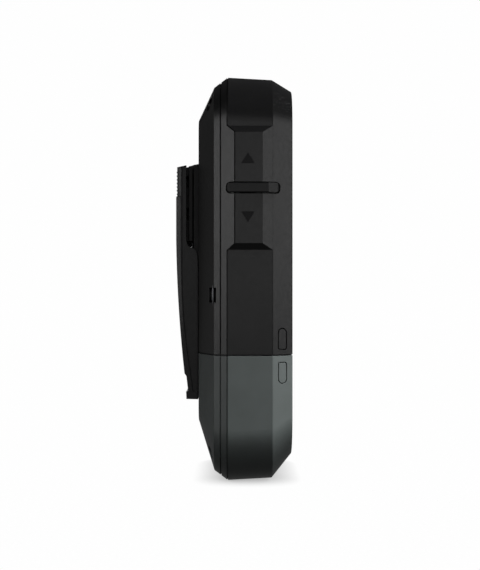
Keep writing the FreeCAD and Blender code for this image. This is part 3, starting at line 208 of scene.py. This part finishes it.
MATERIALS = {
    "black_shell": plastic("black_shell", (0.0030, 0.0030, 0.0031), 0.33),
    "black_frame": plastic("black_frame", (0.0032, 0.0032, 0.0033), 0.33),
    "grey_shell": plastic("grey_shell", (0.073, 0.083, 0.081), 0.39, specular=0.27),
    "inner_plastic": plastic("inner_plastic", (0.10, 0.105, 0.11), 0.55, 3000.0),
    "key_plastic": plastic("key_plastic", (0.016, 0.016, 0.018), 0.34, 4200.0, specular=0.35),
    "jog_plastic": plastic("jog_plastic", (0.0010, 0.0010, 0.0011), 0.30, 6000.0, specular=0.16),
    "mark_ink": plastic("mark_ink", (0.0040, 0.0040, 0.0042), 0.5, 6000.0, specular=0.13),
    "window": gloss("window", (0.004, 0.005, 0.007)),
    "panel": gloss("panel", (0.010, 0.016, 0.030), 0.2, 0.0),
    "light": gloss("light", (0.30, 0.035, 0.02), 0.18),
    "lens": gloss("lens", (0.030, 0.003, 0.004)),
    "rubber": rubber("rubber", (0.012, 0.012, 0.012)),
    "grip": rubber("grip", (0.007, 0.0072, 0.0075)),
    "board": plastic("board", (0.008, 0.075, 0.030), 0.35, 1800.0, specular=0.4),
    "chips": plastic("chips", (0.012, 0.012, 0.014), 0.45, 5000.0),
    "steel": metal("steel", (0.55, 0.55, 0.57), 0.28),
    "dark_steel": metal("dark_steel", (0.075, 0.075, 0.08), 0.36),
    "horn_metal": metal("horn_metal", (0.60, 0.61, 0.63), 0.35, (1, 1, 3)),
    "cell_wrap": plastic("cell_wrap", (0.030, 0.034, 0.045), 0.30, 1500.0, specular=0.4),
    "contact": metal("contact", (0.80, 0.58, 0.24), 0.22),
    # a darker copy of clip_plastic: painted shade for the clip base, which sits in the clip's shaded
    # channel
    "clip_painted_shade": plastic("clip_painted_shade", (0.0036, 0.0036, 0.0038), 0.40, specular=0.12,
                         edge=EDGE_CLIP, painted_shade_keep=0.8),
    "clip_plastic": plastic("clip_plastic", (0.0050, 0.0050, 0.0052), 0.38, specular=0.2,
                            edge=EDGE_CLIP, painted_shade_keep=0.6),
}

slot_of = {part["node"]: part["material_slot"] for part in frame["record"]["subparts"]}
slot_of["housing_screws"] = "dark_steel"
slot_of["tray_screws"] = "dark_steel"
# the clip base takes the darker copy of the clip plastic: painted shade in the channel
slot_of["clip_base"] = "clip_painted_shade"
for name, piece in frame["nodes"].items():
    piece.data.materials.clear()
    piece.data.materials.append(MATERIALS[slot_of[name]])


# ---------------------------------------------------------------- studio
def glow(tree, kind):
    """A white light-giving shader of the given node kind; its strength is input 1."""
    node = tree.nodes.new(kind)
    node.inputs[0].default_value = (1, 1, 1, 1)
    return node


def split_by_ray(tree, path, hidden, seen, output):
    """Show one shader to the camera and the other to every other ray."""
    blend = tree.nodes.new("ShaderNodeMixShader")
    tree.links.new(path.outputs["Is Camera Ray"], blend.inputs[0])
    tree.links.new(hidden.outputs[0], blend.inputs[1])
    tree.links.new(seen.outputs[0], blend.inputs[2])
    tree.links.new(blend.outputs[0], output.inputs[0])


def painted_floor_shadow(tree):
    """Painted shadow on the floor: brightness 1 in the open, low close to the unit, leaned to one side.
    """
    shade = tree.nodes.new("ShaderNodeAmbientOcclusion")
    shade.samples = 24
    shade.inputs["Distance"].default_value = SHADOW_REACH
    lean = tree.nodes.new("ShaderNodeCombineXYZ")
    lean.inputs[0].default_value, lean.inputs[2].default_value = SHADOW_LEAN
    tree.links.new(lean.outputs[0], shade.inputs["Normal"])
    depth = tree.nodes.new("ShaderNodeMapRange")
    depth.inputs["To Min"].default_value = SHADOW_FLOOR
    tree.links.new(shade.outputs["AO"], depth.inputs["Value"])
    return depth.outputs[0]


def stage_plane():
    """Large pale floor under the unit, with a painted shadow close to it."""
    mesh = bpy.data.meshes.new("floor")
    corners = [(x * FLOOR_HALF, y * FLOOR_HALF, 0) for x, y in ((-1, -1), (1, -1), (1, 1), (-1, 1))]
    mesh.from_pydata(corners, [], [(0, 1, 2, 3)])
    floor = bpy.data.objects.new("floor", mesh)
    bpy.context.scene.collection.objects.link(floor)
    material, shader = new_material("floor_paper")
    tree = material.node_tree
    tree.nodes.remove(shader)
    fibre = remap(material, noise(material, 900.0, 3.0), 0.985, 1.0)
    # painted shadow: the floor's glow seen by the camera is lowered close to the unit
    level = tree.nodes.new("ShaderNodeMath")
    level.operation = "MULTIPLY"
    tree.links.new(fibre, level.inputs[0])
    tree.links.new(painted_floor_shadow(tree), level.inputs[1])
    paper = glow(tree, "ShaderNodeEmission")
    tree.links.new(level.outputs[0], paper.inputs[1])
    path = tree.nodes.new("ShaderNodeLightPath")
    mirrored = tree.nodes.new("ShaderNodeMath")
    mirrored.operation = "MULTIPLY_ADD"
    mirrored.inputs[1].default_value = FLOOR_MIRRORED
    mirrored.inputs[2].default_value = FLOOR_LIGHT
    tree.links.new(path.outputs["Is Glossy Ray"], mirrored.inputs[0])
    dim = glow(tree, "ShaderNodeEmission")
    tree.links.new(mirrored.outputs[0], dim.inputs[1])
    output = next(node for node in tree.nodes if node.bl_idname == "ShaderNodeOutputMaterial")
    split_by_ray(tree, path, dim, paper, output)
    floor.data.materials.append(material)


def world():
    """White background to the camera, a dim room for everything else."""
    sky = bpy.data.worlds.new("studio")
    bpy.context.scene.world = sky
    sky.use_nodes = True
    tree = sky.node_tree
    tree.nodes.clear()
    seen = glow(tree, "ShaderNodeBackground")
    seen.inputs[1].default_value = PAPER_SEEN
    room = glow(tree, "ShaderNodeBackground")
    room.inputs[1].default_value = ROOM_LIGHT
    path = tree.nodes.new("ShaderNodeLightPath")
    split_by_ray(tree, path, room, seen, tree.nodes.new("ShaderNodeOutputWorld"))


def softbox(name, azimuth, rise, distance, size, radiance, matt=True, glossy=True):
    """Panel lamp aimed at the unit; azimuth in degrees from -X towards +Y, rise above level.

    The camera doesn't see it. matt and glossy say which of the two kinds of light it gives.
    """
    data = bpy.data.lights.new(name, "AREA")
    data.shape = "RECTANGLE"
    data.size, data.size_y = size
    data.energy = LAMP_WATTS * radiance * size[0] * size[1]
    lamp = bpy.data.objects.new(name, data)
    turn = math.radians(azimuth)
    lift = math.radians(rise)
    level = distance * math.cos(lift)
    away = Vector((-level * math.cos(turn), level * math.sin(turn), distance * math.sin(lift)))
    lamp.location = MIDDLE + away
    aim = MIDDLE - lamp.location
    lamp.rotation_euler = aim.to_track_quat("-Z", "Y").to_euler()
    lamp.visible_camera = False
    lamp.visible_diffuse = matt
    lamp.visible_glossy = glossy
    bpy.context.scene.collection.objects.link(lamp)


def camera():
    """Level camera on the -X side, 0.4 m from the near face."""
    data = bpy.data.cameras.new("camera")
    data.sensor_fit = "VERTICAL"
    data.sensor_height = SENSOR_MM
    data.lens = LENS_MM
    data.clip_start = 0.01
    eye = bpy.data.objects.new("camera", data)
    eye.location = EYE
    eye.rotation_euler = (math.radians(90), 0, math.radians(-90))
    bpy.context.scene.collection.objects.link(eye)
    bpy.context.scene.camera = eye


bpy.context.scene.view_settings.view_transform = "Standard"
stage_plane()
world()
softbox("key", -75.0, 56.0, 1.0, (0.5, 0.5), 41.0, glossy=False)
softbox("fill", 6.0, 46.0, 1.0, (0.6, 0.6), 3.0, glossy=False)
softbox("back_left", 150.0, 38.0, 1.0, (0.6, 0.6), 5.0, glossy=False)
softbox("back_right", 210.0, 38.0, 1.0, (0.6, 0.6), 5.0, glossy=False)
softbox("side_sheen", 0.0, 0.0, 0.55, (0.30, 0.36), 1.14, matt=False)
softbox("chamfer_sheen", -50.5, 1.5, 0.6, (0.20, 0.46), 2.8, matt=False)
softbox("strip_sheen", 67.0, 3.0, 0.8, (0.24, 0.44), 3.5, matt=False)
softbox("lever_sheen", 44.0, 0.0, 1.0, (0.12, 1.20), 7.5, matt=False)
softbox("bevel_sheen", 133.0, 12.0, 1.0, (0.40, 0.50), 0.06, matt=False)
softbox("face_sheen", -95.0, 6.0, 1.0, (0.5, 0.5), 1.2, matt=False)
softbox("rear_sheen", 95.0, 6.0, 1.0, (0.4, 0.5), 0.8, matt=False)
softbox("far_sheen", 180.0, 2.0, 1.0, (0.5, 0.5), 1.2, matt=False)
camera()
